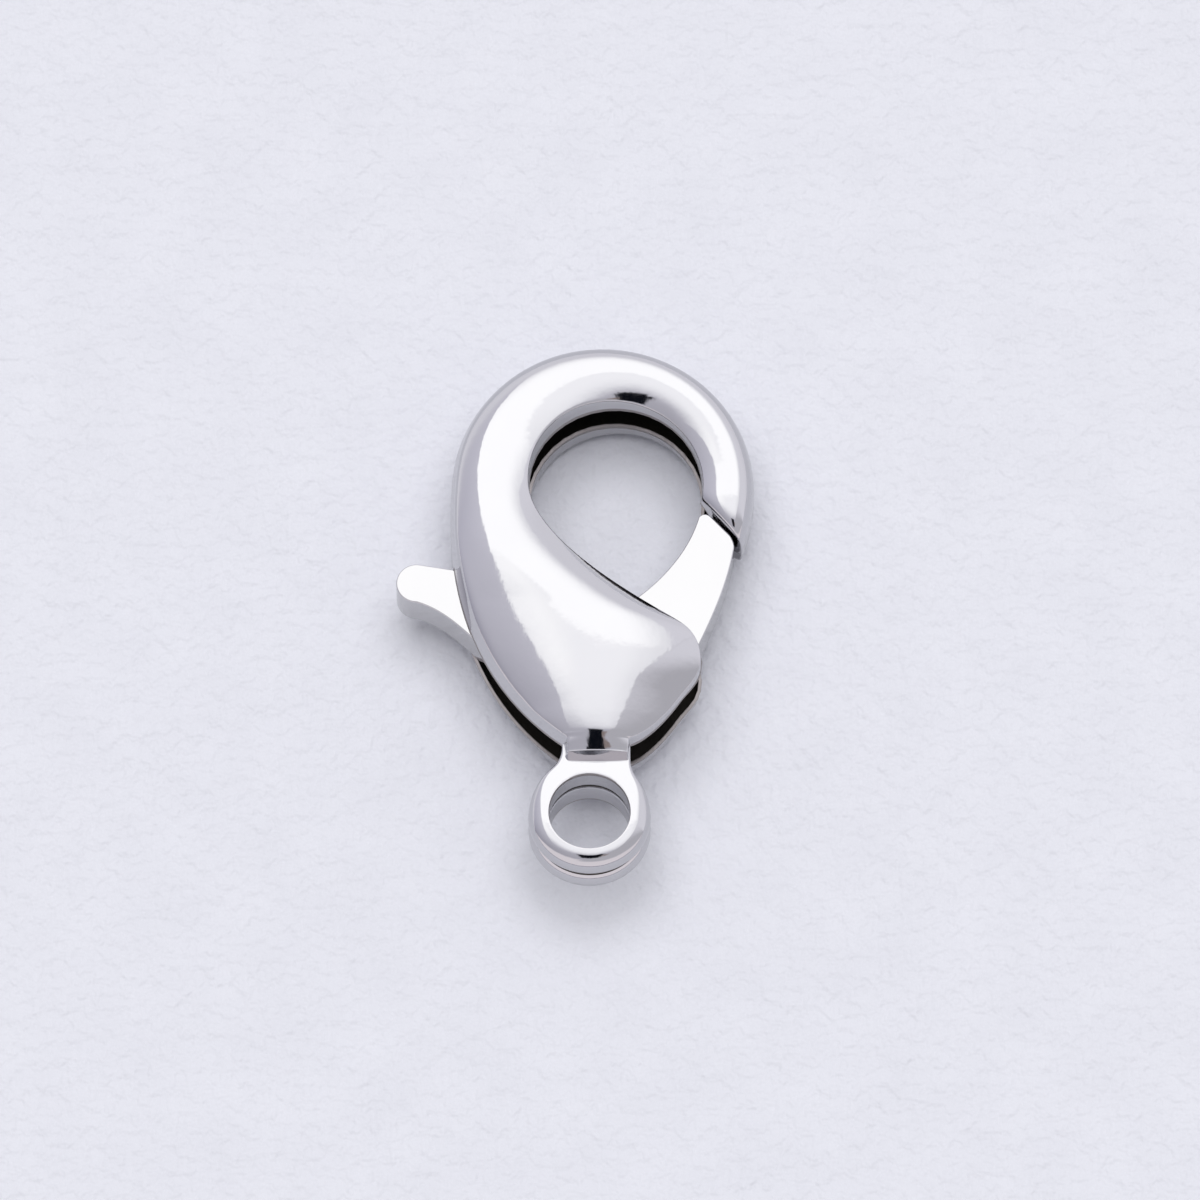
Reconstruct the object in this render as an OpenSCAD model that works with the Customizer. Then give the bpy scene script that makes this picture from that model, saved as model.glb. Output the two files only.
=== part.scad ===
// Lobster clasp: a hollow body of two mirrored half shells that meet along the
// hook's outer wall and at the tail, with a flat sprung lever between them.
// The frame: origin in the middle of the tail ring's hole, +Y towards the hook,
// +Z up out of the upper shell. All sizes are in millimetres.

/* [Body] */
// Length over all, from the tail ring's outer edge to the top of the hook
clasp_l = 12; // [11.6:0.1:12.8]
// Outside diameter of the hook's round
hook_d = 6.36; // [6.1:0.02:6.7]
// Diameter of the round eye inside the hook
eye_d = 3.66; // [3.4:0.02:3.8]
// How far the eye's centre lies to the right of the hook's centre
eye_shift = 0.23; // [0.14:0.01:0.3]
// How far the eye's centre lies below the hook's centre
eye_drop = 0.07; // [0:0.01:0.2]
// Thickness over both shells at the belly
belly_h = 2.96; // [2.8:0.02:3.3]
// Thickness over both shells at the hook
hook_h = 2.3; // [2.2:0.02:2.5]
// Height over both shells up to where the inner walls turn into the domes
shoulder_h = 1.96; // [1.8:0.02:2.04]
// Rounding between the inner wall and the domes
inner_round = 0.13; // [0.08:0.01:0.16]
// Thickness of the shells
wall = 0.24; // [0.2:0.01:0.28]

/* [Tail] */
// Outside diameter of the tail rings
ring_d = 2.58; // [2.4:0.02:2.7]
// Diameter of the hole in the tail rings
ring_hole_d = 1.74; // [1.5:0.02:1.8]
// Height of the two stacked tail rings together
ring_h = 1.4; // [1.3:0.02:1.5]
// Depth of the groove between the two tail rings
seam_depth = 0.15; // [0.1:0.01:0.2]
// Width of the neck between the tail rings and the belly
neck_w = 1.44; // [1.3:0.02:1.6]
// Distance from the ring's centre to where the belly starts
neck_l = 1.56; // [1.5:0.02:1.7]

/* [Lever] */
// Thickness of the lever plate
lever_t = 0.94; // [0.8:0.01:1.05]
// Gap between the lever and each shell's rim
lever_gap = 0.04; // [0.03:0.01:0.06]
// How far the thumb tab stands out past the body
tab_reach = 1.24; // [1:0.02:1.5]
// Width of the thumb tab at its round end
tab_w = 0.88; // [0.8:0.02:1]
// Diameter of the lever's round hub on the pivot
hub_d = 1.5; // [1.4:0.02:1.6]
// Width of the gate at its nose
nose_w = 0.96; // [0.8:0.02:1]
// Gap between the gate's nose and the cut end of the hook
nose_gap = 0.13; // [0.1:0.01:0.2]

/* [Pivot] */
// Place of the pivot to the right of the ring's centre
pivot_x = 1.48; // [1.4:0.02:1.56]
// Place of the pivot above the ring's centre
pivot_y = 3.45; // [3.3:0.01:3.6]
// Diameter of the round lobe of the body about the pivot
lobe_d = 1.8; // [1.74:0.02:1.9]
// Diameter of the pivot pin
pin_d = 0.64; // [0.5:0.02:0.7]
// Length of the pivot pin
pin_l = 1.76; // [1.5:0.02:1.8]
// Gap round the pin in the lever's hole
pin_gap = 0.02; // [0.01:0.01:0.04]
// Gap round the pin and past its ends in the body's seats
seat_gap = 0.01; // [0.01:0.01:0.02]
// Thickness of the body's bosses about the pin
boss_wall = 0.2; // [0.16:0.01:0.24]

/* [Hidden] */
$fn = 64;

hook_r = hook_d / 2;
eye_r = eye_d / 2;
ring_r = ring_d / 2;
lobe_r = lobe_d / 2;
slot_h = lever_t + 2 * lever_gap;
pivot = [pivot_x, pivot_y];

// Centres of the hook's outer round and of the eye
hook_shift = 0.32;
hook_c = [hook_shift, clasp_l - ring_r - hook_r];
eye_c = hook_c + [eye_shift, -eye_drop];

// The neck's centre line lies a little to the right of the ring's centre
neck_shift = 0.14;
neck_left = [neck_shift - neck_w / 2, neck_l];
neck_right = [neck_shift + neck_w / 2, neck_l];
neck_foot = 0.93 * ring_r;

// Angles, seen from above, where the outline's arcs start and end
hook_from = 175;
hook_to = -22;
eye_from = 185;
eye_to = -7;
lobe_from = -52;
lobe_to = 60;

// A point on a circle, a share of the way from a to b, the same with a share of the
// length added to the left, and a cubic curve with its ends and two guide points
function polar(c, r, a) = c + r * [cos(a), sin(a)];
function unit(v) = v / norm(v);
function mix(a, b, t) = a + (b - a) * t;
function beside(a, b, along, side) = mix(a, b, along) + side * [a[1] - b[1], b[0] - a[0]];
function cubic(p, t) =
    pow(1 - t, 3) * p[0] + 3 * t * pow(1 - t, 2) * p[1]
    + 3 * t * t * (1 - t) * p[2] + pow(t, 3) * p[3];

// Outer rail: the neck's left side, the belly's left side, then the hook's round.
// Place -1 is the neck's foot, 0 the belly's start, 1 the hook's start, 2 its tip.
belly_left = let (side = [hook_c[0] - hook_r, hook_c[1]]) [
    neck_left,
    [mix(neck_left[0], side[0], 0.74), mix(neck_l, side[1], 0.21)],
    [mix(neck_left[0], side[0], 1.10), mix(neck_l, side[1], 0.57)],
    polar(hook_c, hook_r, hook_from)];
function outer(v) =
    v < 0 ? [neck_left[0], mix(neck_l, neck_foot, -v)]
    : v < 1 ? cubic(belly_left, v)
    : polar(hook_c, hook_r, mix(hook_from, hook_to, v - 1));

// Inner rail: the neck's right side, the curve out to the lobe, the lobe, the curve
// from the lobe to the eye, then the eye's round. Places 1, 2 and 3 are between these.
lobe_low = polar(pivot, lobe_r, lobe_from);
lobe_high = polar(pivot, lobe_r, lobe_to);
eye_low = polar(eye_c, eye_r, eye_from);
to_lobe = [neck_right, beside(neck_right, lobe_low, 0.25, -0.13),
    beside(neck_right, lobe_low, 0.74, -0.06), lobe_low];
to_eye = let (gap = norm(eye_low - lobe_high)) [
    lobe_high, lobe_high + 0.37 * gap * [-sin(lobe_to), cos(lobe_to)],
    eye_low - 0.25 * gap * [sin(eye_from), -cos(eye_from)], eye_low];
function inner(u) =
    u < 0 ? [neck_right[0], mix(neck_l, neck_foot, -u)]
    : u < 1 ? cubic(to_lobe, u)
    : u < 2 ? polar(pivot, lobe_r, mix(lobe_from, lobe_to, u - 1))
    : u < 3 ? cubic(to_eye, u - 2)
    : polar(eye_c, eye_r, mix(eye_from, eye_to, u - 3));

// Sections of the shell from the neck to the tip. Columns: place on the outer rail,
// place on the inner rail, height of the dome as a share (1 at the belly, 0 at the
// hook), and how far up towards the lever's slot the outer wall stays upright
SECTIONS = [
    [-1.00, -1.00, -1.36, 1.0],
    [-0.70, -0.70, -0.45, 1.0],
    [ 0.00,  0.00, -0.15, 1.0],
    [ 0.09,  0.33,  0.10, 1.0],
    [ 0.19,  0.75,  0.50, 1.0],
    [ 0.30,  1.08,  0.82, 1.0],
    [ 0.40,  1.35,  0.96, 1.0],
    [ 0.49,  1.62,  1.00, 1.0],
    [ 0.57,  1.88,  1.00, 1.0],
    [ 0.65,  2.14,  0.94, 0.9],
    [ 0.73,  2.38,  0.82, 0.8],
    [ 0.80,  2.60,  0.66, 0.7],
    [ 0.87,  2.80,  0.48, 0.6],
    [ 0.94,  2.95,  0.33, 0.5],
    [ 1.01,  3.06,  0.21, 0.4],
    [ 1.10,  3.15,  0.12, 0.4],
    [ 1.25,  3.31,  0.04, 0.4],
    [ 1.42,  3.48,  0.00, 0.4],
    [ 1.60,  3.66,  0.00, 0.4],
    [ 1.76,  3.82, -0.02, 0.4],
    [ 1.86,  3.91, -0.10, 0.4],
    [ 1.94,  3.96, -0.40, 0.3],
    [ 2.00,  4.00, -1.00, 0.2]];
last = len(SECTIONS) - 1;
STEPS = 2;

// A section at any place between the table's rows, on a smooth curve through them
function row(i) = SECTIONS[max(0, min(last, i))];
function between(i, t) =
    0.5 * (2 * row(i) + (row(i + 1) - row(i - 1)) * t
    + (2 * row(i - 1) - 5 * row(i) + 4 * row(i + 1) - row(i + 2)) * t * t
    + (3 * row(i) - row(i - 1) - 3 * row(i + 1) + row(i + 2)) * t * t * t);
function section(x) = let (i = min(last - 1, floor(x))) between(i, x - i);

// Half heights in a section: the dome's crest, the top of the inner wall, and the top
// of the upright part of the outer wall
function crest(s) = hook_h / 2 + s[2] * (belly_h - hook_h) / 2;
function shoulder(s) = min(shoulder_h / 2, 0.86 * crest(s));
function upright(s) = s[3] * slot_h / 2;

// One ring of points round a section: up the outer wall and over in a quarter of an
// ellipse to the crest, down a flatter arch to the inner wall, and back under the
// mirrored lower half. inset moves it all inwards.
CREST_AT = 0.57;
ARCH = 3;
function half_ring(s, inset) =
    let (w = norm(inner(s[1]) - outer(s[0])), mid = CREST_AT * w, low = upright(s),
        top = crest(s) - inset, shelf = shoulder(s) - inset,
        small = max(0.02, inner_round - inset), far = w - inset - small)
    concat(
        [for (a = [0, 22, 44, 66, 90])
            [mid - (mid - inset) * cos(a), mix(low, top, sin(a))]],
        [for (k = [1:ARCH]) [mix(mid, far, k / ARCH), mix(top, shelf, pow(k / ARCH, 2))]],
        [[w - inset - 0.3 * small, shelf - 0.3 * small], [w - inset, shelf - small]]);
function ring(s, inset, push) =
    let (o = outer(s[0]), way = unit(inner(s[1]) - o), half = half_ring(s, inset))
    concat(
        [for (p = half) let (q = o + p[0] * way + push) [q[0], q[1], p[1]]],
        [for (k = [len(half) - 1:-1:0]) let (p = half[k], q = o + p[0] * way + push)
            [q[0], q[1], -p[1]]]);

// A closed solid through a list of rings
module skin(rings) {
    m = len(rings[0]);
    n = len(rings);
    polyhedron([for (r = rings) each r], concat(
        [[for (k = [0:m - 1]) k], [for (k = [m - 1:-1:0]) (n - 1) * m + k]],
        [for (j = [0:n - 2], k = [0:m - 1]) let (a = j * m + k, b = j * m + (k + 1) % m)
            each [[a, a + m, b + m], [a, b + m, b]]]));
}

// The straight cut that ends the hook, and the way out of it
cut_in = inner(4);
cut_out = outer(2);
cut_along = unit(cut_out - cut_in);
cut_way = [cut_along[1], -cut_along[0]];

// The hollow inside both shells starts behind the solid neck and leaves by the cut
hollow_from = 2.5;
module hollow() {
    skin(concat(
        [for (x = [hollow_from:1 / STEPS:last]) ring(section(x), wall, [0, 0])],
        [ring(row(last), wall, wall * cut_way)]));
}

// The gap between the shells, open everywhere but at the neck and along the outer
// wall of the hook, which starts just above the thumb tab
wall_from = 0.745;
SLOT_STEP = 0.04;
function inside_wall(v) =
    let (way = unit(outer(v + 0.001) - outer(v - 0.001))) outer(v) + wall * [way[1], -way[0]];
turn_at = outer(wall_from);
module slot() {
    past = hook_d;
    foot = inside_wall(wall_from);
    linear_extrude(slot_h, center = true) polygon(concat(
        [for (v = [wall_from:SLOT_STEP:2]) inside_wall(v)],
        [inside_wall(2) + wall * cut_way, [past, pivot_y], [past, neck_l], [-past, neck_l],
        foot + past * unit(turn_at - foot)]));
}

// Body: both shells, the neck and the two tail rings in one piece, with a boss
// inside each shell that seats the pivot pin
tube_r = ring_h / 4;
module tail_rings() {
    flat_r = ring_r - tube_r;
    start = ring_hole_d / 4;
    rotate_extrude() {
        translate([start, -ring_h / 2]) square([flat_r - start, ring_h]);
        translate([start, -tube_r]) square([ring_r - seam_depth - start, 2 * tube_r]);
        for (side = [-1, 1])
            translate([flat_r, side * tube_r]) circle(tube_r);
    }
}
FLARE = 55;
function flare(side) =
    let (a = 90 - side * FLARE, top = [neck_shift + side * neck_w / 2, 0.9 * neck_foot])
    [polar([0, 0], 0.9 * ring_r, a), beside(polar([0, 0], 0.9 * ring_r, a), top, 0.5, side * 0.06), top];
module neck() {
    over = neck_foot + wall / 2;
    left = flare(-1);
    linear_extrude(ring_h, center = true) polygon(concat(
        flare(1), [[neck_right[0], over], [neck_left[0], over]],
        [left[2], left[1], left[0], [0, ring_hole_d / 4]]));
}
module bosses() {
    for (side = [0, 1]) mirror([0, 0, side])
        translate([pivot_x, pivot_y, slot_h / 2]) cylinder(h = belly_h, r = pin_d / 2 + boss_wall);
}
module body() {
    color("silver") difference() {
        union() {
            skin([for (x = [0:1 / STEPS:last]) ring(section(x), 0, [0, 0])]);
            tail_rings();
            neck();
        }
        difference() {
            hollow();
            bosses();
        }
        slot();
        cylinder(h = 2 * ring_h, r = ring_hole_d / 2, center = true);
        translate([pivot_x, pivot_y, 0])
            cylinder(h = pin_l + 2 * seat_gap, r = pin_d / 2 + seat_gap, center = true);
    }
}

// Lever: one flat plate with the thumb tab, the hub and the gate
hub_r = hub_d / 2;
hub_right = pivot + [hub_r, 0];
tab_c = turn_at + [tab_w / 2 - tab_reach, -tab_w / 2];
tab_low = tab_c - [0, tab_w / 2];
tab_root = turn_at - [0, 0.1 * tab_w + lever_gap];
heel = beside(neck_left, pivot, 0.04, 0.5);
nose_mid = mix(cut_in, cut_out, 0.54) + nose_gap * cut_way;
nose_in = nose_mid - nose_w / 2 * cut_along;
nose_out = nose_mid + nose_w / 2 * cut_along;
gate_root = beside(pivot, cut_in, 0.35, 0.21);
CURVE = 7;
function bend(a, b, c, d) = [for (k = [1:CURVE - 1]) cubic([a, b, c, d], k / CURVE)];
function guided(a, d, b, c) = bend(a, beside(a, d, b[0], b[1]), beside(a, d, c[0], c[1]), d);
function corner(a, b, c, r) =
    let (p = unit(a - b), q = unit(c - b))
    [for (t = [0:0.25:1]) cubic([b + r * p, b + 0.45 * r * p, b + 0.45 * r * q, b + r * q], t)];
module lever_plate() {
    round_in = 0.22 * nose_w;
    round_out = 0.2 * nose_w;
    polygon(concat(
        corner(gate_root, nose_in, nose_out, round_in),
        corner(nose_in, nose_out, beside(nose_out, hub_right, 0.34, 0.062), round_out),
        guided(nose_out, hub_right, [0.34, 0.062], [0.69, 0.032]),
        [for (a = [0:-15:-90]) polar(pivot, hub_r, a)],
        corner(pivot - [0, hub_r], heel, tab_low, 0.3 * hub_r),
        guided(heel, tab_low, [0.30, -0.07], [0.66, -0.16]),
        [for (a = [270:-15:90]) polar(tab_c, tab_w / 2, a)],
        [tab_root],
        guided(tab_root, gate_root, [0.3, 0], [0.82, -0.27]),
        [gate_root],
        guided(gate_root, nose_in, [0.3, -0.09], [0.67, -0.12])));
}
module lever() {
    color("gainsboro") difference() {
        linear_extrude(lever_t, center = true) lever_plate();
        translate([pivot_x, pivot_y, 0])
            cylinder(h = 2 * lever_t, r = pin_d / 2 + pin_gap, center = true);
    }
}

// Pivot pin: a plain round pin, hidden inside, that the lever turns on
module pivot_pin() {
    color("darkgray") translate([pivot_x, pivot_y, 0])
        cylinder(h = pin_l, r = pin_d / 2, center = true);
}

body();
lever();
pivot_pin();
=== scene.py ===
import math
import bmesh
import bpy
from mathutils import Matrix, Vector


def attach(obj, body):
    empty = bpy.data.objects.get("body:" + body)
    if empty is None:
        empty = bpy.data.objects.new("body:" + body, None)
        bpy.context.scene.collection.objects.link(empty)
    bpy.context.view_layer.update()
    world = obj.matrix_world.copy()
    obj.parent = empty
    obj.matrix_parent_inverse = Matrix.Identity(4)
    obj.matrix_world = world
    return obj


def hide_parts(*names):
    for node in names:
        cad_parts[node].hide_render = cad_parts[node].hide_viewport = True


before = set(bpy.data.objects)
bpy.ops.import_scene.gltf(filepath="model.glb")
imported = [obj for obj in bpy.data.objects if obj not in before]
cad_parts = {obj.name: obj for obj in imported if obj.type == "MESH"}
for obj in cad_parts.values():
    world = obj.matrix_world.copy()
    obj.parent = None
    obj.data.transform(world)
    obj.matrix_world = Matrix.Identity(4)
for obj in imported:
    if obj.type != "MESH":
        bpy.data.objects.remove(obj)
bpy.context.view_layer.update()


# The studio
# A sheet of pale paper under a white light tent with soft panels in it. The clasp lies on
# its belly and its hook, so the paper is tilted by the few degrees between those two.
MM = 0.001
HORIZON = 0.02            # a panel ends where a ray rises by less than this


def softbox_group():
    """A rectangle of light seen in the tent's wall: 1 inside, fading to 0 over its soft edges."""
    group = bpy.data.node_groups.new("Softbox in the tent", 'ShaderNodeTree')
    group.interface.new_socket("Vector", in_out='INPUT', socket_type='NodeSocketVector')
    for name in ("Left", "Right", "Near", "Far", "Soft left", "Soft right", "Soft near", "Slant"):
        group.interface.new_socket(name, in_out='INPUT', socket_type='NodeSocketFloat')
    group.interface.new_socket("Mask", in_out='OUTPUT', socket_type='NodeSocketFloat')
    nodes, links = group.nodes, group.links
    given = nodes.new('NodeGroupInput')
    out = nodes.new('NodeGroupOutput')
    split = nodes.new('ShaderNodeSeparateXYZ')
    links.new(given.outputs["Vector"], split.inputs[0])

    def maths(operation, a, b):
        node = nodes.new('ShaderNodeMath')
        node.operation = operation
        for slot, value in enumerate([a, b]):
            if isinstance(value, (int, float)):
                node.inputs[slot].default_value = value
            else:
                links.new(value, node.inputs[slot])
        return node.outputs[0]

    def rise(value, edge, soft, sign):
        ramp = nodes.new('ShaderNodeMapRange')
        ramp.interpolation_type = 'SMOOTHSTEP'
        half = maths('MULTIPLY', given.outputs[soft], 0.5 * sign)
        links.new(value, ramp.inputs["Value"])
        links.new(maths('SUBTRACT', given.outputs[edge], half), ramp.inputs["From Min"])
        links.new(maths('ADD', given.outputs[edge], half), ramp.inputs["From Max"])
        return ramp.outputs[0]

    up = maths('MAXIMUM', split.outputs[2], HORIZON)
    along = maths('DIVIDE', split.outputs[1], up)
    slanted = maths('MULTIPLY', along, given.outputs["Slant"])
    across = maths('SUBTRACT', maths('DIVIDE', split.outputs[0], up), slanted)
    left, right = rise(across, "Left", "Soft left", 1), rise(across, "Right", "Soft right", -1)
    near, far = rise(along, "Near", "Soft near", 1), rise(along, "Far", "Soft near", -1)
    sides, ends = maths('MULTIPLY', left, right), maths('MULTIPLY', near, far)
    above = maths('GREATER_THAN', split.outputs[2], HORIZON)
    links.new(maths('MULTIPLY', maths('MULTIPLY', sides, ends), above), out.inputs["Mask"])
    return group


# The tent's panels, each over the ones before it. The edges are slopes of the ray that sees
# them, sideways or away from the camera over upwards; softness is in the same measure.
# Name, left, right, near, far, soft left, soft right, soft near and far, slant, strength, tint
PANELS = [
    ("front skirt", -60, 60, -60, -1.0, 1.00, 1.00, 0.40, 0, 0.94, (1.04, 0.98, 1.02)),
    ("right wall", 0.50, 60, -0.05, 60, 0.10, 1.00, 0.50, 0, 0.99, (1.0, 0.99, 1.06)),
    ("main panel overhead", -0.63, 0.78, -0.08, 60, 0.03, 0.05, 0.46, 0, 1.18, (1.0, 1.0, 1.03)),
    ("its bright middle", -0.35, 0.50, -0.02, 60, 0.50, 0.50, 0.50, 0, 1.37, (1.0, 1.0, 1.02)),
    ("its bright left side", -0.63, -0.25, 0.14, 60, 0.03, 0.30, 0.30, 0, 1.49, (1.0, 1.0, 1.0)),
    ("its brightest far part", -0.63, 0.55, 0.335, 60, 0.03, 0.45, 0.04, 0, 1.58, (1.0, 1.0, 1.0)),
    ("grey cloth at a slant", 0.56, 60, -1.40, 60, 0.05, 1.00, 0.50, 0.73, 0.61, (1.0, 0.99, 1.06)),
    ("the cloth's lit far half", 0.56, 60, 0.03, 60, 0.05, 1.00, 0.50, 0.73, 0.97, (1.0, 0.99, 1.06)),
    ("back wall", -60, 60, 1.6, 60, 1.00, 1.00, 1.80, 0, 0.92, (1.0, 0.99, 1.06)),
    ("camera", -0.16, 0.20, -0.62, -0.24, 0.05, 0.05, 0.05, 0, 0.01, (0.5, 0.6, 1.0)),
    ("warm card by the camera", 0.19, 0.31, -0.49, -0.36, 0.03, 0.06, 0.05, 0, 0.31, (1.1, 0.9, 0.85))]


def light_tent():
    world = bpy.data.worlds.new("Light tent")
    bpy.context.scene.world = world
    world.use_nodes = True
    nodes, links = world.node_tree.nodes, world.node_tree.links
    where = nodes.new('ShaderNodeTexCoord')
    split = nodes.new('ShaderNodeSeparateXYZ')
    links.new(where.outputs["Generated"], split.inputs[0])

    def blend(kind, factor, a, b):
        node = nodes.new('ShaderNodeMixRGB')
        node.blend_type = kind
        for slot, value in enumerate([factor, a, b]):
            if isinstance(value, (float, tuple)):
                node.inputs[slot].default_value = value
            else:
                links.new(value, node.inputs[slot])
        return node.outputs[0]

    # The bare tent is brightest overhead, and dimmer on the camera's side than behind the clasp
    walls = nodes.new('ShaderNodeValToRGB')
    walls.color_ramp.elements[0].color = (0.52, 0.51, 0.61, 1)
    walls.color_ramp.elements[1].color = (0.92, 0.91, 1.00, 1)
    links.new(split.outputs[2], walls.inputs[0])
    front = nodes.new('ShaderNodeMapRange')
    front.inputs["From Min"].default_value, front.inputs["From Max"].default_value = -0.35, 0.35
    front.inputs["To Min"].default_value = 0.68
    links.new(split.outputs[1], front.inputs["Value"])
    shade = blend('MULTIPLY', 1.0, walls.outputs[0], front.outputs[0])
    softbox = softbox_group()
    for name, *edges, strength, tint in PANELS:
        box = nodes.new('ShaderNodeGroup')
        box.node_tree = softbox
        box.label = name
        links.new(where.outputs["Generated"], box.inputs["Vector"])
        for socket, value in zip(list(box.inputs)[1:], edges):
            socket.default_value = value
        shade = blend('MIX', box.outputs["Mask"], shade, (*(strength * c for c in tint), 1))
    links.new(shade, nodes["Background"].inputs[0])
    world.cycles_visibility.diffuse = False


light_tent()

bpy.ops.object.camera_add()
camera = bpy.context.object
camera.name = "photo_camera"
camera.data.lens = 400
camera.data.sensor_width = 36
camera.data.clip_start, camera.data.clip_end = 0.005, 5
AIM = Vector((0.22, 5.13, 0)) * MM
LOOK_DOWN = math.radians(67)
FRAME_WIDTH = 25.44
view_back = Vector((0, -math.cos(LOOK_DOWN), math.sin(LOOK_DOWN)))
camera.location = AIM + view_back * FRAME_WIDTH * MM * camera.data.lens / camera.data.sensor_width
camera.rotation_euler = (math.radians(90) - LOOK_DOWN, 0, 0)
bpy.context.scene.camera = camera
bpy.context.scene.view_settings.view_transform = 'Standard'

# The paper is lit by two wide lamps that don't show in the plating, and the plating by the tent
for name, lean, spread, strength in [("overhead_silk", 6, 56, 1.76), ("tent_glow", 0, 165, 1.19)]:
    bpy.ops.object.light_add(type='SUN', rotation=(math.radians(-lean), 0, 0))
    lamp = bpy.context.object
    lamp.name = name
    lamp.data.angle = math.radians(spread)
    lamp.data.energy = strength
    lamp.visible_glossy = False

UNDER_BELLY = Vector((0, 3.8, -1.49)) * MM
TILT = math.radians(2.8)
bpy.ops.mesh.primitive_plane_add(size=1.6, location=UNDER_BELLY, rotation=(TILT, 0, 0))
table = bpy.context.object
table.name = "table_top"


CLOUDS_PER_METRE = 700


def wear_group():
    """What hand work and use leave on a surface: slow ripples, fine marks and clouding."""
    group = bpy.data.node_groups.new("Ripples, marks and clouds", 'ShaderNodeTree')
    group.interface.new_socket("Vector", in_out='INPUT', socket_type='NodeSocketVector')
    for name in ("Ripples per metre", "Marks per metre"):
        group.interface.new_socket(name, in_out='INPUT', socket_type='NodeSocketFloat')
    for name in ("Height", "Marks", "Clouds"):
        group.interface.new_socket(name, in_out='OUTPUT', socket_type='NodeSocketFloat')
    nodes, links = group.nodes, group.links
    given = nodes.new('NodeGroupInput')
    out = nodes.new('NodeGroupOutput')

    def noise(vector, scale, detail):
        node = nodes.new('ShaderNodeTexNoise')
        links.new(vector, node.inputs["Vector"])
        if isinstance(scale, str):
            links.new(given.outputs[scale], node.inputs["Scale"])
        else:
            node.inputs["Scale"].default_value = scale
        node.inputs["Detail"].default_value = detail
        return node.outputs["Fac"]

    drawn_out = nodes.new('ShaderNodeMapping')
    drawn_out.inputs["Scale"].default_value = (1, 0.12, 0.5)
    drawn_out.inputs["Rotation"].default_value = (0, 0, 0.5)
    links.new(given.outputs["Vector"], drawn_out.inputs["Vector"])
    links.new(noise(given.outputs["Vector"], "Ripples per metre", 2), out.inputs["Height"])
    links.new(noise(drawn_out.outputs[0], "Marks per metre", 6), out.inputs["Marks"])
    links.new(noise(given.outputs["Vector"], CLOUDS_PER_METRE, 3), out.inputs["Clouds"])
    return group


WEAR = wear_group()


def worked_surface(name, dull, clean, metallic, polish, ripples, ripple_depth, marks):
    """A material that runs between two colours and two roughnesses, its ripples a depth in mm."""
    material = bpy.data.materials.new(name)
    material.use_nodes = True
    nodes, links = material.node_tree.nodes, material.node_tree.links
    shader = nodes["Principled BSDF"]
    shader.inputs["Metallic"].default_value = metallic
    where = nodes.new('ShaderNodeTexCoord')
    wear = nodes.new('ShaderNodeGroup')
    wear.node_tree = WEAR
    wear.inputs["Ripples per metre"].default_value = ripples
    wear.inputs["Marks per metre"].default_value = marks
    links.new(where.outputs["Object"], wear.inputs["Vector"])
    colour = nodes.new('ShaderNodeMixRGB')
    colour.inputs[1].default_value, colour.inputs[2].default_value = (*dull, 1), (*clean, 1)
    links.new(wear.outputs["Clouds"], colour.inputs[0])
    links.new(colour.outputs[0], shader.inputs["Base Color"])
    sheen = nodes.new('ShaderNodeMapRange')
    sheen.inputs["From Min"].default_value, sheen.inputs["From Max"].default_value = 0.35, 0.70
    sheen.inputs["To Min"].default_value, sheen.inputs["To Max"].default_value = polish
    links.new(wear.outputs["Marks"], sheen.inputs["Value"])
    links.new(sheen.outputs[0], shader.inputs["Roughness"])
    bump = nodes.new('ShaderNodeBump')
    bump.inputs["Distance"].default_value = ripple_depth * MM
    links.new(wear.outputs["Height"], bump.inputs["Height"])
    links.new(bump.outputs[0], shader.inputs["Normal"])
    return material


paper = worked_surface("Pale crinkled paper", (0.80, 0.805, 0.885), (0.87, 0.875, 0.955), 0, (0.8, 0.95),
                       3300, 0.095, 9000)
table.data.materials.append(paper)

# Painted shade: for glossy rays only, the paper's colour is multiplied down, so mirrored in the clasp's
# steep sides it looks a little darker than seen straight
PAINTED_SHADE_IN_MIRROR = 0.87
nodes, links = paper.node_tree.nodes, paper.node_tree.links
seen = nodes.new('ShaderNodeLightPath')
shaded = nodes.new('ShaderNodeMixRGB')
shaded.blend_type = 'MULTIPLY'
shaded.inputs[2].default_value = (PAINTED_SHADE_IN_MIRROR, PAINTED_SHADE_IN_MIRROR, PAINTED_SHADE_IN_MIRROR, 1)
base = nodes["Principled BSDF"].inputs["Base Color"]
links.new(base.links[0].from_socket, shaded.inputs[1])
links.new(seen.outputs["Is Glossy Ray"], shaded.inputs[0])
links.new(shaded.outputs[0], base)


# The two shells
# Two thin brass castings, each the mirror of the other, joined along the hook's outer wall
# and plated bright. Their sections stand on two lines seen from above: the outer one runs
# from the neck round the belly and the hook, the inner one round the pivot and the eye.
HOOK_R, EYE_R, LOBE_R = 3.22, 1.83, 0.90
HOOK_C = Vector((0.29, 7.51))
EYE_C = Vector((0.55, 7.50))
PIVOT = Vector((1.48, 3.45))
HOOK_FROM, HOOK_TO = 175, -22
EYE_FROM, EYE_TO = 185, -7
LOBE_FROM, LOBE_TO = -52, 60
NECK_LEFT, NECK_RIGHT = Vector((-0.58, 1.56)), Vector((0.86, 1.56))
NECK_FOOT = 1.0
TUCK, TUCK_RUN = 0.02, 0.4     # the walls stand this far back inside the neck, after that share
RIM, HOOK_RIM = 0.51, 0.42     # half of the slot between the shells, at the lever and in the hook
NARROWS_AT, NARROWS_OVER = 0.95, 0.3    # where on the outer line the one turns into the other
HOOK_TOP, BELLY_TOP = 1.00, 1.48
SQUARE = 2.7              # 2 is an ellipse; more is a fuller shoulder
WALL = 0.07
LEAN = 0.02               # how far the inner wall leans out on its way down to the slot
SHOULDER = 0.045          # radius where the dome turns down into the inner wall


def polar(centre, radius, angle):
    a = math.radians(angle)
    return centre + radius * Vector((math.cos(a), math.sin(a)))


def mix(a, b, t):
    return a + (b - a) * t


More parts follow.
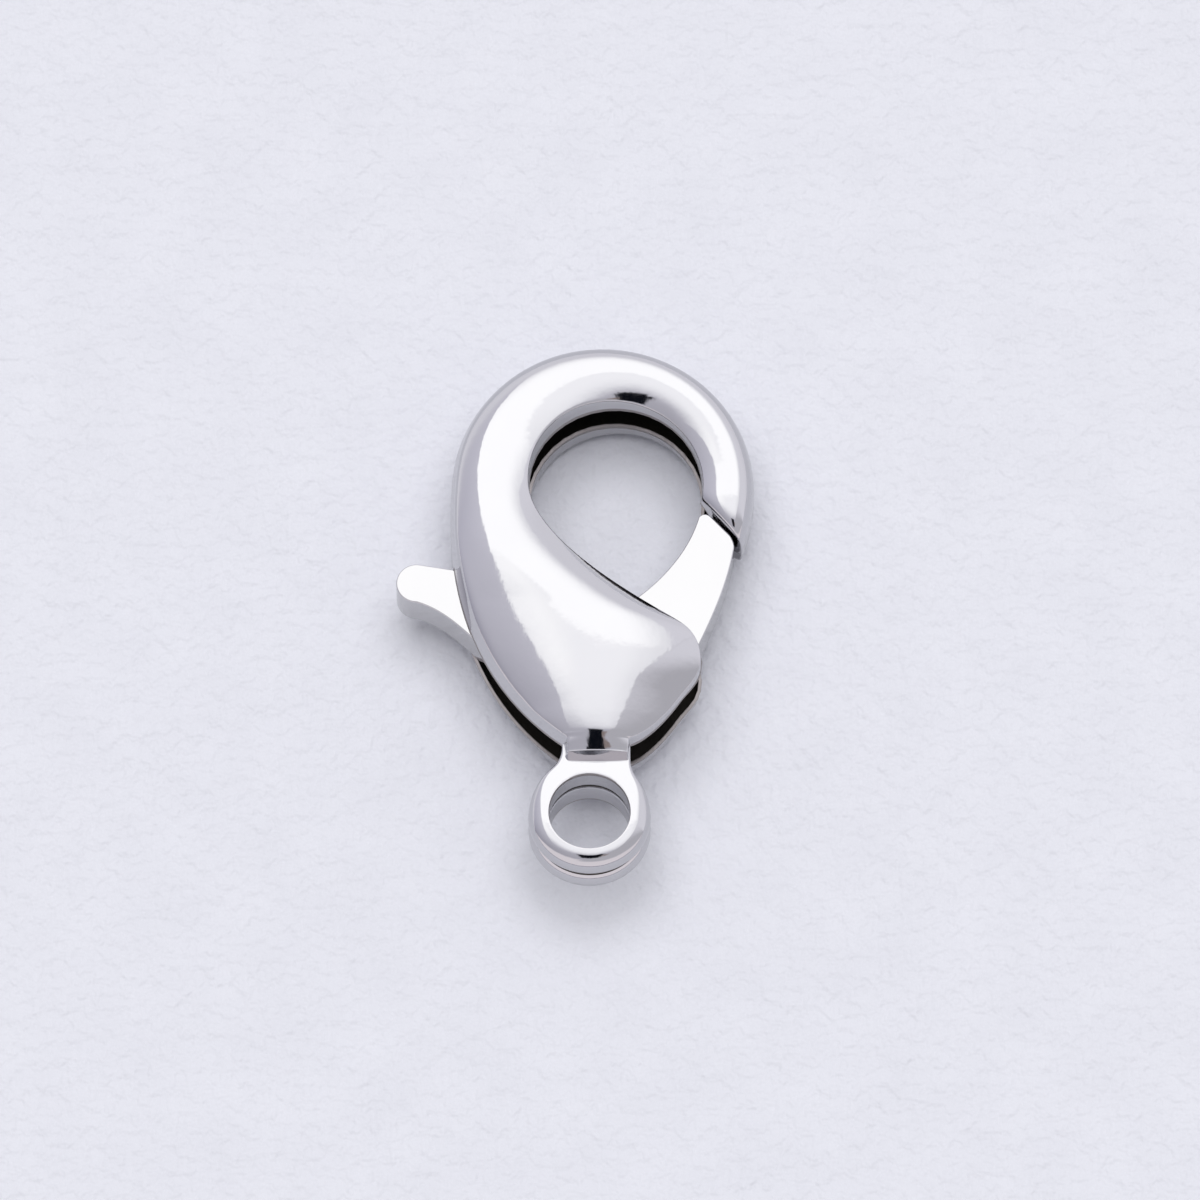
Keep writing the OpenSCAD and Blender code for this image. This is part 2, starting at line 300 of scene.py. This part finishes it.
def beside(a, b, along, side):
    """A point a share of the way from a to b, and a share of that length to the left."""
    way = b - a
    return a + along * way + side * Vector((-way.y, way.x))


def cubic(p, t):
    return (1 - t) ** 3 * p[0] + 3 * t * (1 - t) ** 2 * p[1] + 3 * t * t * (1 - t) * p[2] + t ** 3 * p[3]


def outer_line(v):
    """Below 0 the neck's left side, to 1 the belly's side, to 2 the hook."""
    side = Vector((HOOK_C.x - HOOK_R, HOOK_C.y))
    if v < 0:
        return Vector((NECK_LEFT.x + TUCK * min(1, -v / TUCK_RUN), mix(NECK_LEFT.y, NECK_FOOT, -v)))
    if v < 1:
        return cubic([NECK_LEFT,
                      Vector((mix(NECK_LEFT.x, side.x, 0.74), mix(NECK_LEFT.y, side.y, 0.21))),
                      Vector((mix(NECK_LEFT.x, side.x, 1.10), mix(NECK_LEFT.y, side.y, 0.57))),
                      polar(HOOK_C, HOOK_R, HOOK_FROM)], v)
    return polar(HOOK_C, HOOK_R, mix(HOOK_FROM, HOOK_TO, v - 1))


def inner_line(u):
    """Below 0 the neck's right side, to 1 the way to the lobe, to 2 the lobe, to 3 the way
    from it to the eye, to 4 the eye."""
    lobe_low, lobe_high = polar(PIVOT, LOBE_R, LOBE_FROM), polar(PIVOT, LOBE_R, LOBE_TO)
    if u < 0:
        return Vector((NECK_RIGHT.x - TUCK * min(1, -u / TUCK_RUN), mix(NECK_RIGHT.y, NECK_FOOT, -u)))
    if u < 1:
        return cubic([NECK_RIGHT, beside(NECK_RIGHT, lobe_low, 0.25, -0.13),
                      beside(NECK_RIGHT, lobe_low, 0.74, -0.06), lobe_low], u)
    if u < 2:
        return polar(PIVOT, LOBE_R, mix(LOBE_FROM, LOBE_TO, u - 1))
    if u < 3:
        eye_low = polar(EYE_C, EYE_R, EYE_FROM)
        gap = (eye_low - lobe_high).length
        a, b = math.radians(LOBE_TO), math.radians(EYE_FROM)
        return cubic([lobe_high, lobe_high + 0.37 * gap * Vector((-math.sin(a), math.cos(a))),
                      eye_low - 0.25 * gap * Vector((math.sin(b), -math.cos(b))), eye_low], u - 2)
    return polar(EYE_C, EYE_R, mix(EYE_FROM, EYE_TO, u - 3))


# Place on the outer line, on the inner line, height of the dome (1 belly, 0 hook), how round
# the outer wall is (0 upright, up to a corner), that corner's height in mm, the fall in mm
# from the crest to the inner wall, and where across the section the crest lies
STATIONS = [
    (-1.00, -1.00, -0.95, 0.00, 0.50, 0.06, 0.50),
    (-0.80, -0.80, -0.86, 0.00, 0.54, 0.06, 0.50),
    (-0.745, -0.745, -0.64, 0.00, 0.64, 0.07, 0.50),
    (-0.55, -0.55, 0.045, 0.00, 0.94, 0.09, 0.50),
    (-0.52, -0.52, 0.10, 0.00, 0.96, 0.09, 0.50),
    (-0.30, -0.30, 0.21, 0.00, 1.00, 0.11, 0.50),
    (-0.15, -0.15, 0.285, 0.00, 1.02, 0.13, 0.495),
    (0.00, 0.00, 0.36, 0.00, 1.03, 0.16, 0.49),
    (0.025, 0.09, 0.429, 0.00, 1.01, 0.21, 0.487),
    (0.06, 0.22, 0.526, 0.00, 0.98, 0.29, 0.48),
    (0.10, 0.37, 0.612, 0.00, 0.94, 0.38, 0.475),
    (0.14, 0.53, 0.693, 0.00, 0.89, 0.46, 0.472),
    (0.19, 0.75, 0.79, 0.00, 0.83, 0.55, 0.47),
    (0.30, 1.08, 0.902, 0.00, 0.78, 0.62, 0.485),
    (0.40, 1.35, 0.955, 0.00, 0.80, 0.60, 0.50),
    (0.49, 1.62, 1.00, 0.00, 0.84, 0.54, 0.51),
    (0.57, 1.88, 1.00, 0.00, 0.88, 0.47, 0.515),
    (0.65, 2.14, 0.96, 0.00, 0.91, 0.42, 0.515),
    (0.73, 2.38, 0.875, 0.00, 0.92, 0.36, 0.51),
    (0.80, 2.60, 0.76, 0.00, 0.92, 0.29, 0.51),
    (0.87, 2.80, 0.64, 0.00, 0.90, 0.22, 0.51),
    (0.94, 2.95, 0.54, 0.08, 0.88, 0.165, 0.51),
    (1.01, 3.06, 0.46, 0.20, 0.86, 0.135, 0.51),
    (1.10, 3.15, 0.39, 0.40, 0.84, 0.12, 0.50),
    (1.20, 3.26, 0.31, 0.65, 0.80, 0.115, 0.495),
    (1.30, 3.36, 0.22, 0.85, 0.80, 0.12, 0.49),
    (1.40, 3.46, 0.11, 1.00, 0.80, 0.138, 0.485),
    (1.50, 3.56, 0.00, 1.00, 0.80, 0.157, 0.485),
    (1.60, 3.66, -0.09, 1.00, 0.80, 0.165, 0.485),
    (1.70, 3.76, -0.15, 1.00, 0.80, 0.165, 0.48),
    (1.80, 3.87, -0.19, 1.00, 0.80, 0.16, 0.48),
    (1.90, 3.94, -0.22, 1.00, 0.78, 0.15, 0.48),
    (1.98, 3.995, -0.28, 1.00, 0.76, 0.14, 0.48),
    (2.01, 4.017, -0.54, 1.00, 0.68, 0.12, 0.49)]
# Between the ends of this table the crest's height goes by its distance from the rings
# instead. Distance, height and slope: a straight ramp that breaks near 1.65, then the belly
CROWN = [(1.27, 1.048, 0.43), (1.63, 1.203, 0.43), (1.72, 1.234, 0.25), (2.00, 1.296, 0.19),
         (2.40, 1.362, 0.15), (2.88, 1.423, 0.10), (3.30, 1.455, 0.05)]
CUT = 0.05                # height of the dull strip along the slot's cut edges, darkened as painted shade
CAP = (0.93, 0.5, 0.02)   # the hook's cut end is closed by its last section, drawn together
PER_STATION = 2


def station(x):
    """The table's row at any place, on a smooth curve through the rows."""
    i = min(int(x), len(STATIONS) - 2)
    t = x - i
    a, b, c, d = (STATIONS[max(0, min(len(STATIONS) - 1, k))] for k in (i - 1, i, i + 1, i + 2))
    return [0.5 * (2 * q + (r - p) * t + (2 * p - 5 * q + 4 * r - s) * t * t
                   + (3 * q - p - 3 * r + s) * t ** 3) for p, q, r, s in zip(a, b, c, d)]


def crown(y):
    """Height of the crest at a distance from the rings, by a smooth curve through CROWN."""
    i = max(k for k in range(len(CROWN) - 1) if CROWN[k][0] <= y)
    (y0, z0, m0), (y1, z1, m1) = CROWN[i:i + 2]
    step = y1 - y0
    t = (y - y0) / step
    return ((2 * t ** 3 - 3 * t * t + 1) * z0 + (t ** 3 - 2 * t * t + t) * step * m0
            + (3 * t * t - 2 * t ** 3) * z1 + (t ** 3 - t * t) * step * m1)


def shell_section(x):
    """Points of the upper shell from its outer wall over the dome to its inner rim. The outer
    wall is a mix of a boxy one and an oval one, and past the last row the section closes."""
    v, u, high, rounded, corner, fall, crest = station(min(x, len(STATIONS) - 1))
    past = round((x - len(STATIONS) + 1) * PER_STATION)
    drawn = CAP[past - 1] if past > 0 else 1
    start, end = outer_line(v), inner_line(u)
    width = (end - start).length
    way = (end - start) / width
    rim = mix(RIM, HOOK_RIM, min(max((v - NARROWS_AT) / NARROWS_OVER, 0), 1))
    top = mix(HOOK_TOP, BELLY_TOP, high)
    distance = mix(start, end, crest).y
    if CROWN[0][0] < distance < CROWN[-1][0]:
        top = crown(distance)
    shelf = min(top - fall, 0.93 * top)
    middle = crest * width
    upright = 0.4 * rim
    corner = min(corner, 0.9 * top)

    boxy = [(0, 0), (0, upright), (0, rim), (0.015, rim + min(CUT, 0.3 * (corner - rim))),
            (0.05, mix(rim, corner, 0.5)), (0.09, mix(rim, corner, 0.85))]
    for share in (0.075, 0.16, 0.32, 0.52, 0.75):
        boxy.append((max(share * middle, 0.1), corner + (top - corner) * (1 - (1 - share) ** 2)))
    low_angles = [math.degrees(math.asin(min(1, (z - upright) / (top - upright)) ** (SQUARE / 2)))
                  for z in (rim, min(rim + CUT, 0.9 * top))]
    oval = [(0, 0), (0, upright)]
    for a in (*low_angles, 28, 37, 46, 55, 64, 73, 81):
        rise, run = (part(math.radians(a)) ** (2 / SQUARE) for part in (math.sin, math.cos))
        oval.append((middle * (1 - run), upright + (top - upright) * rise))
    points = [(mix(p[0], q[0], rounded), mix(p[1], q[1], rounded)) for p, q in zip(boxy, oval)]

    tight = min(SHOULDER, 0.5 * (shelf - rim))
    far = width - LEAN - tight
    points.append((middle, top))
    points += [(mix(middle, far, q), mix(top, shelf, q * q)) for q in (0.3, 0.6, 0.85, 1)]
    points += [(far + 0.6 * tight, shelf - 0.35 * tight), (far + tight, shelf - tight),
               (width - 0.7 * LEAN, rim + min(CUT, 0.4 * (shelf - tight - rim))), (width, rim)]
    return [Vector((*(start + mix(middle, s, drawn) * way), z * drawn)) * MM for s, z in points]


def move_points(mesh, places):
    """Move a mesh's points, in their order, to new places."""
    mesh.verts.ensure_lookup_table()
    for k, place in enumerate(places):
        for vert in mesh.verts:
            vert.select_set(False)
        mesh.verts[k].select_set(True)
        mesh.select_flush(True)
        bpy.ops.transform.translate(value=place - mesh.verts[k].co)


plating = worked_surface("Bright plating", (0.608, 0.604, 0.624), (0.632, 0.628, 0.648), 1, (0.05, 0.10),
                         5000, 0.0022, 14000)
# Near-black metal that is painted shade: it lines the inside of the hollow shells and the crevices where
# the two rings meet
near_black_painted_shade = worked_surface("Near-black painted shade in hollows and grooves", (0.02, 0.018, 0.016), (0.09, 0.08, 0.07), 0.6,
                     (0.45, 0.65), 9000, 0.012, 20000)
# Dull grey metal whose dark colour is painted shade along the slot's edges; it is also used at the
# bore's edge
dull_edge_and_painted_shade = worked_surface("Dull edge darkened as painted shade", (0.22, 0.20, 0.20), (0.44, 0.41, 0.41), 0.9, (0.28, 0.42),
                          9000, 0.004, 20000)
ROWS = PER_STATION * (len(STATIONS) - 1) + 1 + len(CAP)
ACROSS = len(shell_section(0))
bpy.ops.object.select_all(action='DESELECT')
bpy.ops.mesh.primitive_grid_add(x_subdivisions=ACROSS - 1, y_subdivisions=ROWS - 1, size=2 * MM)
shells = bpy.context.object
shells.name = "clasp_shells"
for material in (plating, near_black_painted_shade, dull_edge_and_painted_shade, near_black_painted_shade):
    shells.data.materials.append(material)
bpy.ops.object.mode_set(mode='EDIT')
mesh = bmesh.from_edit_mesh(shells.data)
move_points(mesh, [point for row in range(ROWS) for point in shell_section(row / PER_STATION)])

# The slot is open from the neck to just above the thumb tab. Along its cut edges, outside
# and inside, runs a dull strip whose dark colour is painted shade, the shade of the gap between the
# shells.
CLOSED_FROM = 0.745
open_rows = [row for row in range(ROWS - len(CAP)) if station(row / PER_STATION)[0] < CLOSED_FROM]
mesh.faces.ensure_lookup_table()
painted_shade_strips, slot_strips = [], []
for face in mesh.faces:
    along = min(v.index // ACROSS for v in face.verts)
    column = min(v.index % ACROSS for v in face.verts)
    if column == ACROSS - 2 or column == 2 and along in open_rows[:-1]:
        painted_shade_strips.append(face)
    if column < 2 and along in open_rows[:-1]:
        slot_strips.append(face)
bpy.ops.mesh.select_all(action='DESELECT')
for face in painted_shade_strips:
    face.select_set(True)
bmesh.update_edit_mesh(shells.data)
shells.active_material_index = 2
bpy.ops.object.material_slot_assign()
bpy.ops.mesh.select_all(action='DESELECT')
for face in slot_strips:
    face.select_set(True)
bmesh.update_edit_mesh(shells.data)
bpy.ops.mesh.delete(type='FACE')
bpy.ops.mesh.select_all(action='SELECT')
bpy.ops.mesh.delete_loose()
bpy.ops.mesh.select_all(action='SELECT')
bpy.ops.mesh.normals_make_consistent(inside=False)
bpy.ops.object.mode_set(mode='OBJECT')


def finish_modifier(obj, name, kind, **values):
    """Add one modifier and apply it."""
    modifier = obj.modifiers.new(name, kind)
    for key, value in values.items():
        setattr(modifier, key, value)
    bpy.context.view_layer.objects.active = obj
    bpy.ops.object.modifier_apply(modifier=name)


def pick(obj):
    bpy.ops.object.select_all(action='DESELECT')
    obj.select_set(True)
    bpy.context.view_layer.objects.active = obj


finish_modifier(shells, "Other shell", 'MIRROR', use_axis=(False, False, True), merge_threshold=1e-6)
# The wall's inner faces take the next material, the near-black painted shade inside the hollow shells
finish_modifier(shells, "Cast wall", 'SOLIDIFY', thickness=WALL * MM, offset=-1,
                edge_crease_inner=1, edge_crease_outer=1, edge_crease_rim=1, material_offset=1,
                material_offset_rim=0)
finish_modifier(shells, "Smooth form", 'SUBSURF', levels=2, render_levels=2)
finish_modifier(shells, "Eased rims", 'BEVEL', width=0.018 * MM, segments=2, limit_method='ANGLE',
                angle_limit=math.radians(50))
pick(shells)
bpy.ops.object.shade_smooth()
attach(shells, "body")
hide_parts("body")


# The tail
# Two rings stacked, one cast with each shell, and the flat neck that carries them, plated
# with the shells. The rings' outer sides are round like a tube, the neck's are upright, and
# a fine groove shows where the two halves meet.
RING_R, HOLE_R, RING_TOP, NECK_END = 1.29, 0.85, 0.70, 1.62
DRAWN_IN = 0.955          # the rings are a little flat at the end away from the neck
FLARE = 0.6               # radius of the inside curve from the neck to the ring
NECK_EDGE, RING_EDGE = 0.07, 0.349      # how far the outer edge is rounded, at each
UNDERSIDE = 0.34          # height of the round at the ring's outer side above the groove
ROUNDS_AT, ROUNDS_OVER = 35, 60         # degrees from the neck where the one turns into the other


def neck_side(edge):
    """The neck's side from its end down to the ring, with the inside curve between them."""
    way = math.copysign(1, edge)
    centre = Vector((edge + way * FLARE, 0))
    centre.y = math.sqrt((RING_R + FLARE) ** 2 - centre.x ** 2)
    low = math.degrees(math.atan2(centre.y, centre.x))
    start, stop = (180, low + 180) if way > 0 else (0, low - 180)
    points = [Vector((edge, mix(NECK_END, centre.y, k / 3))) for k in range(3)]
    points += [polar(centre, FLARE, mix(start, stop, k / 9)) for k in range(10)]
    return points, low


left_side, left_angle = neck_side(NECK_LEFT.x)
right_side, right_angle = neck_side(NECK_RIGHT.x)
ring_c = Vector((0, 0))
round_ring = [polar(ring_c, RING_R, mix(left_angle, 360 + right_angle, k / 80)) for k in range(1, 80)]
across = [Vector((mix(NECK_RIGHT.x, NECK_LEFT.x, k / 6), NECK_END)) for k in range(1, 6)]
tail_path = left_side + round_ring + right_side[::-1] + across


def tail_section(point):
    """From the bore's lower corner up, over the flat top and down the outer side."""
    from_neck = math.degrees(point.angle(Vector((0, 1))))
    turned = min(max((from_neck - ROUNDS_AT) / ROUNDS_OVER, 0), 1)
    soft = mix(NECK_EDGE, RING_EDGE, turned * turned * (3 - 2 * turned))
    r = point.length
    broad = min(1.15 * soft, r - HOLE_R - 0.03)
    drop = UNDERSIDE * soft / RING_EDGE
    bore = [(HOLE_R + 0.10, 0), (HOLE_R + 0.035, 0.035), (HOLE_R, 0.10), (HOLE_R, 0.37),
            (HOLE_R, RING_TOP - 0.015), (HOLE_R + 0.015, RING_TOP)]
    top = [(mix(HOLE_R + 0.015, r - broad, q), RING_TOP) for q in (0.1, 0.5, 0.9)]
    over = [math.radians(a) for a in range(0, 91, 10)]
    under = [math.radians(a) for a in range(0, 61, 12)]
    side = [(r - broad + broad * math.sin(a), RING_TOP - soft + soft * math.cos(a)) for a in over]
    side += [(r - soft + soft * math.cos(a), drop - drop * math.sin(a)) for a in under]
    side.append((r - 0.55 * soft, 0))
    out = point.normalized()
    out.y *= DRAWN_IN if out.y < 0 else 1
    return [Vector((*(out * s), z)) * MM for s, z in bore + top + side]


AROUND, DEEP = len(tail_path) + 1, len(tail_section(tail_path[0]))
bpy.ops.object.select_all(action='DESELECT')
bpy.ops.mesh.primitive_grid_add(x_subdivisions=DEEP - 1, y_subdivisions=AROUND - 1, size=2 * MM)
tail = bpy.context.object
tail.name = "clasp_tail_rings"
for material in (plating, near_black_painted_shade, dull_edge_and_painted_shade):
    tail.data.materials.append(material)
bpy.ops.object.mode_set(mode='EDIT')
mesh = bmesh.from_edit_mesh(tail.data)
closed_path = [*tail_path, tail_path[0]]
move_points(mesh, [place for point in closed_path for place in tail_section(point)])
# Painted shade where the two rings meet, in the bore and in the groove: near-black stands in for the
# shade of the crevice. Dull and darker at the bore's edge
for slot, strips in [(1, [0, DEEP - 3, DEEP - 2]), (2, [4])]:
    bpy.ops.mesh.select_all(action='DESELECT')
    for face in mesh.faces:
        face.select_set(min(v.index % DEEP for v in face.verts) in strips)
    bmesh.update_edit_mesh(tail.data)
    tail.active_material_index = slot
    bpy.ops.object.material_slot_assign()
bpy.ops.mesh.select_all(action='SELECT')
bpy.ops.mesh.remove_doubles(threshold=0.0005 * MM)
bpy.ops.mesh.select_all(action='SELECT')
bpy.ops.mesh.normals_make_consistent(inside=False)
bpy.ops.object.mode_set(mode='OBJECT')
finish_modifier(tail, "Lower ring", 'MIRROR', use_axis=(False, False, True), merge_threshold=1e-6)
finish_modifier(tail, "Smooth form", 'SUBSURF', levels=1, render_levels=1)
pick(tail)
bpy.ops.object.shade_smooth_by_angle(angle=math.radians(40))

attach(tail, "body")
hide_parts("body")


# The lever
# One flat plate, stamped from sheet and plated bright. The thumb tab is on the left, the
# round hub turns on the pivot between the shells, and the gate's nose meets the cut end of
# the hook.
HALF_LEVER = 0.47
HUB_R, TAB_W, TAB_REACH, NOSE_W, NOSE_GAP = 0.62, 0.88, 1.20, 0.96, 0.13
HEEL = Vector((-1.98, 3.62))            # the lever's lowest corner, hidden in the body


def guided(a, d, b, c, steps=12):
    """Points between a and d of a curve whose handles b and c are shares along and beside."""
    bend = [a, beside(a, d, *b), beside(a, d, *c), d]
    return [cubic(bend, k / steps) for k in range(1, steps)]


def soft_corner(before, at, after, radius, steps=10):
    """Points of a rounded corner."""
    p, q = (before - at).normalized(), (after - at).normalized()
    bend = [at + radius * p, at + 0.45 * radius * p, at + 0.45 * radius * q, at + radius * q]
    return [cubic(bend, k / steps) for k in range(steps + 1)]


def traced_plate(name, outline, low, high):
    """A flat plate: a disc whose edge is pulled out to the outline, then given its thickness."""
    bpy.ops.object.select_all(action='DESELECT')
    bpy.ops.mesh.primitive_circle_add(vertices=len(outline), radius=MM, fill_type='NGON')
    plate = bpy.context.object
    plate.name = name
    bpy.ops.object.mode_set(mode='EDIT')
    disc = bmesh.from_edit_mesh(plate.data)
    move_points(disc, [Vector((x, y, low)) * MM for x, y in outline])
    bpy.ops.mesh.select_all(action='SELECT')
    bpy.ops.mesh.extrude_region_move(TRANSFORM_OT_translate={"value": (0, 0, (high - low) * MM)})
    bpy.ops.mesh.select_all(action='SELECT')
    bpy.ops.mesh.normals_make_consistent(inside=False)
    bpy.ops.object.mode_set(mode='OBJECT')
    return plate


cut_in, cut_out = inner_line(4), outer_line(2)
along_cut = (cut_out - cut_in).normalized()
out_of_cut = Vector((along_cut.y, -along_cut.x))
turn_at = outer_line(CLOSED_FROM)
hub_right = PIVOT + Vector((HUB_R, 0))
tab_c = turn_at + Vector((TAB_W / 2 - TAB_REACH, -TAB_W / 2))
tab_low = tab_c - Vector((0, TAB_W / 2))
tab_root = turn_at - Vector((0, 0.1 * TAB_W + 0.04))
nose_mid = mix(cut_in, cut_out, 0.54) + NOSE_GAP * out_of_cut
nose_in, nose_out = nose_mid - NOSE_W / 2 * along_cut, nose_mid + NOSE_W / 2 * along_cut
gate_root = beside(PIVOT, cut_in, 0.35, 0.21)
nose_low = soft_corner(gate_root, nose_in, nose_out, 0.22 * NOSE_W)
nose_high = soft_corner(nose_in, nose_out, beside(nose_out, hub_right, 0.34, 0.062), 0.2 * NOSE_W)
heel_turn = soft_corner(PIVOT - Vector((0, HUB_R)), HEEL, tab_low, 0.4 * HUB_R)
outline = nose_low + nose_high + guided(nose_high[-1], hub_right, (0.34, 0.062), (0.69, 0.032), 16)
outline += [polar(PIVOT, HUB_R, a) for a in range(0, -91, -9)]
outline += heel_turn + guided(heel_turn[-1], tab_low, (0.30, -0.03), (0.66, -0.12), 16)
outline += [polar(tab_c, TAB_W / 2, a) for a in range(270, 89, -9)]
outline += [tab_root, *guided(tab_root, gate_root, (0.3, 0), (0.82, -0.27)), gate_root]
outline += guided(gate_root, nose_low[0], (0.3, -0.09), (0.67, -0.12), 16)
lever = traced_plate("clasp_lever", outline, -HALF_LEVER, HALF_LEVER)
finish_modifier(lever, "Eased edges", 'BEVEL', width=0.03 * MM, segments=3, limit_method='ANGLE',
                angle_limit=math.radians(40), harden_normals=True)
pick(lever)
bpy.ops.object.shade_smooth_by_angle(angle=math.radians(14))
lever.data.materials.append(worked_surface(
    "Bright plating on stamped sheet", (0.612, 0.608, 0.620), (0.632, 0.628, 0.636), 1,
    (0.05, 0.11), 1500, 0.0004, 20000))

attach(lever, "lever")
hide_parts("lever")


# The pivot pin
# A short plain steel pin, turned, and pressed into the bosses inside the shells. The lever's
# hub hides it, so the part's own solid stays and only gets its steel.
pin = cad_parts["pivot_pin"]
pin.data.materials.clear()
pin.data.materials.append(worked_surface(
    "Turned steel", (0.50, 0.50, 0.52), (0.62, 0.62, 0.64), 1, (0.22, 0.40), 12000, 0.002, 24000))
